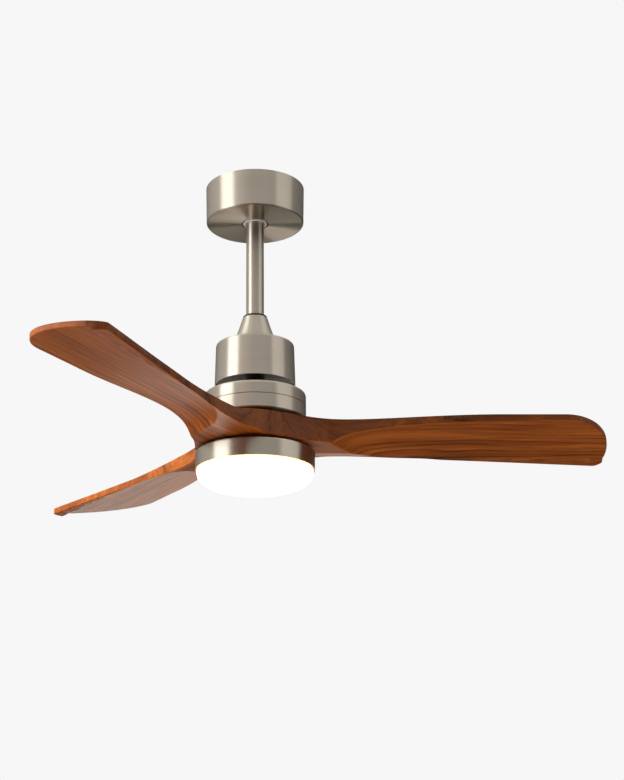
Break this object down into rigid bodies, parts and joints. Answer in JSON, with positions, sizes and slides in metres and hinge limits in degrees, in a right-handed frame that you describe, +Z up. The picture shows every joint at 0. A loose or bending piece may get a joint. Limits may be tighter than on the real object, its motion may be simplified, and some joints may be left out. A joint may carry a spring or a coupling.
{
  "type": "ceiling fan with light",
  "caption": "Downrod ceiling fan with carved walnut blades on a brushed nickel motor and a round opal light below, lit from inside.",
  "frame": {"origin": "centre of the mounting plate's ceiling face, on the fan's spin axis", "axes": "+Z up out of the ceiling face along the spin axis; +X along blade_1; the fan hangs below, at negative Z"},
  "size_m": [0.8639, 0.9388, 0.476],
  "materials": {
    "brushed_nickel": "brushed satin nickel, lines running around each turned piece",
    "walnut": "satin lacquered walnut, grain along each blade",
    "opal_plastic": "opal diffusing acrylic, lit from inside",
    "zinc_steel": "zinc plated",
    "steel": "bright machined",
    "black_steel": "black oxide",
    "white_nylon": "moulded, satin",
    "black_plastic": "moulded, satin",
    "cable_rubber": "matt",
    "circuit_board": "green solder mask",
    "white_board": "white solder mask on aluminium",
    "copper_wire": "enamelled copper wire",
    "magnet": "sintered ferrite"
  },
  "bodies": {
    "ceiling_mount": {"ceiling_plate": "zinc_steel", "hanger_bracket": "zinc_steel", "bracket_screw_1": "steel", "bracket_screw_2": "steel", "terminal_block": "white_nylon"},
    "canopy": {"canopy": "brushed_nickel"},
    "swing_pin": {"ball_pin": "steel"},
    "fan_frame": {"hanger_ball": "white_nylon", "downrod": "brushed_nickel", "motor_lead": "cable_rubber", "lead_connector": "white_nylon", "coupling_cover": "brushed_nickel", "cover_grommet": "cable_rubber", "coupling": "zinc_steel", "clevis_pin": "steel", "cotter_clip": "steel", "coupling_set_screw_1": "black_steel", "coupling_set_screw_2": "black_steel", "motor_shaft": "steel", "motor_cover": "brushed_nickel", "cover_screw_1": "steel", "cover_screw_2": "steel", "cover_screw_3": "steel", "driver_tray": "black_plastic", "driver_board": "circuit_board", "upper_bearing_inner_race": "steel", "lower_bearing_inner_race": "steel", "stator_core": "steel", "stator_winding": "copper_wire", "light_lead": "cable_rubber", "light_mount_plate": "zinc_steel", "shaft_nut": "zinc_steel", "light_housing": "brushed_nickel", "housing_screw_1": "steel", "housing_screw_2": "steel", "housing_screw_3": "steel", "led_board": "white_board", "led_driver": "white_nylon", "led_screw_1": "steel", "led_screw_2": "steel", "led_screw_3": "steel"},
    "rotor": {"upper_bearing_outer_race": "steel", "lower_bearing_outer_race": "steel", "rotor_upper_shell": "brushed_nickel", "rotor_lower_shell": "brushed_nickel", "flux_ring": "steel", "magnet_ring": "magnet", "blade_mount_ring": "black_plastic", "blade_1": "walnut", "blade_2": "walnut", "blade_3": "walnut", "blade_clamp_plate": "black_steel", "blade_bolt_1": "black_steel", "blade_bolt_2": "black_steel", "blade_bolt_3": "black_steel", "blade_bolt_4": "black_steel", "blade_bolt_5": "black_steel", "blade_bolt_6": "black_steel"},
    "diffuser": {"diffuser": "opal_plastic"}
  },
  "joints": [
    {"name": "canopy_twist", "type": "hinge", "parent": "ceiling_mount", "child": "canopy", "pos_m": [0, 0, -0.03], "axis": [0, 0, 1], "range_deg": [0, 18]},
    {"name": "hanger_swing_x", "type": "hinge", "parent": "ceiling_mount", "child": "swing_pin", "pos_m": [0, 0, -0.032], "axis": [1, 0, 0], "range_deg": [-4, 4]},
    {"name": "hanger_swing_y", "type": "hinge", "parent": "swing_pin", "child": "fan_frame", "pos_m": [0, 0, -0.032], "axis": [0, 1, 0], "range_deg": [-4, 4]},
    {"name": "rotor_spin", "type": "hinge", "parent": "fan_frame", "child": "rotor", "pos_m": [0, 0, -0.35], "axis": [0, 0, 1], "continuous": true},
    {"name": "diffuser_twist", "type": "hinge", "parent": "fan_frame", "child": "diffuser", "pos_m": [0, 0, -0.44], "axis": [0, 0, 1], "range_deg": [0, 20]}
  ]
}
